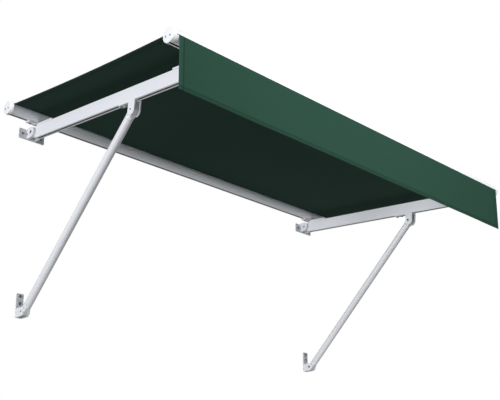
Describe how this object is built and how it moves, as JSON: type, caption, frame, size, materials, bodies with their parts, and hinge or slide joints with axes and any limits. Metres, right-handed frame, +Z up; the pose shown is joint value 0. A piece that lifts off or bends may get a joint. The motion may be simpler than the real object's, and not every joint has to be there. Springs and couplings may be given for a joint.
{
  "type": "fabric awning",
  "caption": "Fixed-frame wall awning: dark green cloth stretched between two round white rails, with a hanging valance, two slotted side beams on hinged wall brackets and sloping struts.",
  "frame": {"origin": "wall face behind the left wall bracket, level with the hinge bolts and midway between its two ears", "axes": "+X along the wall towards the right bracket, +Y into the wall, +Z up"},
  "size_m": [2.505, 1.3802, 1.0901],
  "materials": {
    "coated_aluminium": "satin powder coat",
    "coated_tube": "satin powder coat",
    "cast_aluminium": "coated casting",
    "white_plastic": "moulded",
    "zinc_steel": "zinc plated",
    "roof_cloth": "woven acrylic",
    "valance_cloth": "woven acrylic"
  },
  "bodies": {
    "root": {"wall_bracket_left": "cast_aluminium", "hinge_bolt_left": "zinc_steel", "wall_screw_left_a": "zinc_steel", "wall_screw_left_b": "zinc_steel", "foot_bracket_left": "cast_aluminium", "foot_pivot_bolt_left": "zinc_steel", "foot_screw_left_1": "zinc_steel", "foot_screw_left_2": "zinc_steel", "wall_bracket_right": "cast_aluminium", "hinge_bolt_right": "zinc_steel", "wall_screw_right_a": "zinc_steel", "wall_screw_right_b": "zinc_steel", "foot_bracket_right": "cast_aluminium", "foot_pivot_bolt_right": "zinc_steel", "foot_screw_right_1": "zinc_steel", "foot_screw_right_2": "zinc_steel"},
    "frame": {"rear_rail": "coated_aluminium", "rear_rail_cap_left": "white_plastic", "rear_cap_screw_left_a": "zinc_steel", "rear_cap_screw_left_b": "zinc_steel", "rear_seat_plate_left": "coated_aluminium", "rear_rail_cap_right": "white_plastic", "rear_cap_screw_right_a": "zinc_steel", "rear_cap_screw_right_b": "zinc_steel", "rear_seat_plate_right": "coated_aluminium", "front_rail": "coated_aluminium", "front_rail_cap_left": "white_plastic", "front_cap_screw_left_a": "zinc_steel", "front_cap_screw_left_b": "zinc_steel", "front_seat_plate_left": "coated_aluminium", "front_rail_cap_right": "white_plastic", "front_cap_screw_right_a": "zinc_steel", "front_cap_screw_right_b": "zinc_steel", "front_seat_plate_right": "coated_aluminium", "roof_cloth": "roof_cloth", "valance": "valance_cloth", "beam_left": "coated_aluminium", "beam_hinge_plug_left": "cast_aluminium", "beam_end_cap_left": "white_plastic", "beam_right": "coated_aluminium", "beam_hinge_plug_right": "cast_aluminium", "beam_end_cap_right": "white_plastic"},
    "clevis_left": {"clevis_left": "cast_aluminium", "clevis_pivot_bolt_left": "zinc_steel", "slot_nut_bar_left": "zinc_steel", "slot_screw_left_1": "zinc_steel", "slot_screw_left_2": "zinc_steel"},
    "clevis_right": {"clevis_right": "cast_aluminium", "clevis_pivot_bolt_right": "zinc_steel", "slot_nut_bar_right": "zinc_steel", "slot_screw_right_1": "zinc_steel", "slot_screw_right_2": "zinc_steel"},
    "strut_left": {"strut_tube_left": "coated_tube", "strut_lower_plug_left": "cast_aluminium", "strut_upper_plug_left": "cast_aluminium"},
    "strut_right": {"strut_tube_right": "coated_tube", "strut_lower_plug_right": "cast_aluminium", "strut_upper_plug_right": "cast_aluminium"}
  },
  "joints": [
    {"name": "frame_tilt", "type": "hinge", "parent": "root", "child": "frame", "pos_m": [1.06, -0.036, 0], "axis": [1, 0, 0], "range_deg": [-3, 5]},
    {"name": "clevis_slide_left", "type": "slide", "parent": "frame", "child": "clevis_left", "axis": [0, -0.9952, -0.0976], "range_m": [-0.058, 0.0965]},
    {"name": "strut_swing_left", "type": "hinge", "parent": "root", "child": "strut_left", "pos_m": [0, -0.054, -0.96], "axis": [1, 0, 0], "range_deg": [-3.6, 5.9]},
    {"name": "clevis_slide_right", "type": "slide", "parent": "frame", "child": "clevis_right", "axis": [0, -0.9952, -0.0976], "range_m": [-0.058, 0.0965]},
    {"name": "strut_swing_right", "type": "hinge", "parent": "root", "child": "strut_right", "pos_m": [2.12, -0.054, -0.96], "axis": [1, 0, 0], "range_deg": [-3.6, 5.9]}
  ],
  "couplings": [
    {"joint": "clevis_slide_left", "follows": "frame_tilt", "m_per_rad": 1.1009},
    {"joint": "strut_swing_left", "follows": "frame_tilt", "ratio": 1.1722},
    {"joint": "clevis_slide_right", "follows": "frame_tilt", "m_per_rad": 1.1009},
    {"joint": "strut_swing_right", "follows": "frame_tilt", "ratio": 1.1722}
  ]
}
